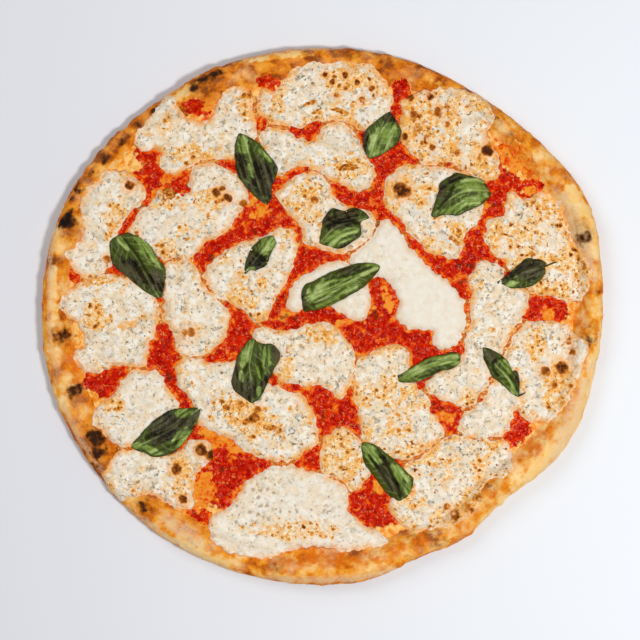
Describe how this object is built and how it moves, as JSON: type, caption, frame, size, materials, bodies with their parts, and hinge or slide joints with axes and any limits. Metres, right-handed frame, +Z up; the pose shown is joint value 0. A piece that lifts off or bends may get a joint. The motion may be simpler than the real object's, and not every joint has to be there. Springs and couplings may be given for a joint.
{
  "type": "margherita pizza",
  "caption": "Whole round margherita pizza: puffed uneven crust, tomato sauce, melted mozzarella slices with seams of sauce between them, and basil leaves.",
  "frame": {"origin": "on the surface that the pizza lies on, under the middle of its box", "axes": "+Z up out of the toppings, +X along the pizza's slightly longer width, +Y along its depth"},
  "size_m": [0.397, 0.38, 0.0205],
  "materials": {
    "crust": "golden baked bread crust, floury and matt, with brown and charred blisters",
    "sauce": "wet pulpy cooked tomato sauce with orange oil",
    "mozzarella": "melted creamy mozzarella, softly glossy, with toasted spots",
    "basil": "fresh to wilted basil leaf, satin, with veins"
  },
  "bodies": {
    "root": {"basil_centre": "basil", "basil_centre_left": "basil", "basil_centre_top": "basil", "basil_east": "basil", "basil_east_inner": "basil", "basil_north": "basil", "basil_north_west": "basil", "basil_south": "basil", "basil_south_centre": "basil", "basil_south_east": "basil", "basil_south_east_inner": "basil", "basil_south_west": "basil", "basil_west": "basil", "crust": "crust", "mozzarella_centre": "mozzarella", "mozzarella_centre_left": "mozzarella", "mozzarella_centre_right": "mozzarella", "mozzarella_centre_top": "mozzarella", "mozzarella_east": "mozzarella", "mozzarella_east_inner": "mozzarella", "mozzarella_east_lower": "mozzarella", "mozzarella_north": "mozzarella", "mozzarella_north_east": "mozzarella", "mozzarella_north_inner": "mozzarella", "mozzarella_north_west": "mozzarella", "mozzarella_south": "mozzarella", "mozzarella_south_centre": "mozzarella", "mozzarella_south_east": "mozzarella", "mozzarella_south_east_inner": "mozzarella", "mozzarella_south_east_rim": "mozzarella", "mozzarella_south_inner": "mozzarella", "mozzarella_south_west": "mozzarella", "mozzarella_south_west_inner": "mozzarella", "mozzarella_south_west_rim": "mozzarella", "mozzarella_west": "mozzarella", "mozzarella_west_inner": "mozzarella", "mozzarella_west_rim": "mozzarella", "mozzarella_west_upper": "mozzarella", "tomato_sauce": "sauce"}
  },
  "joints": []
}
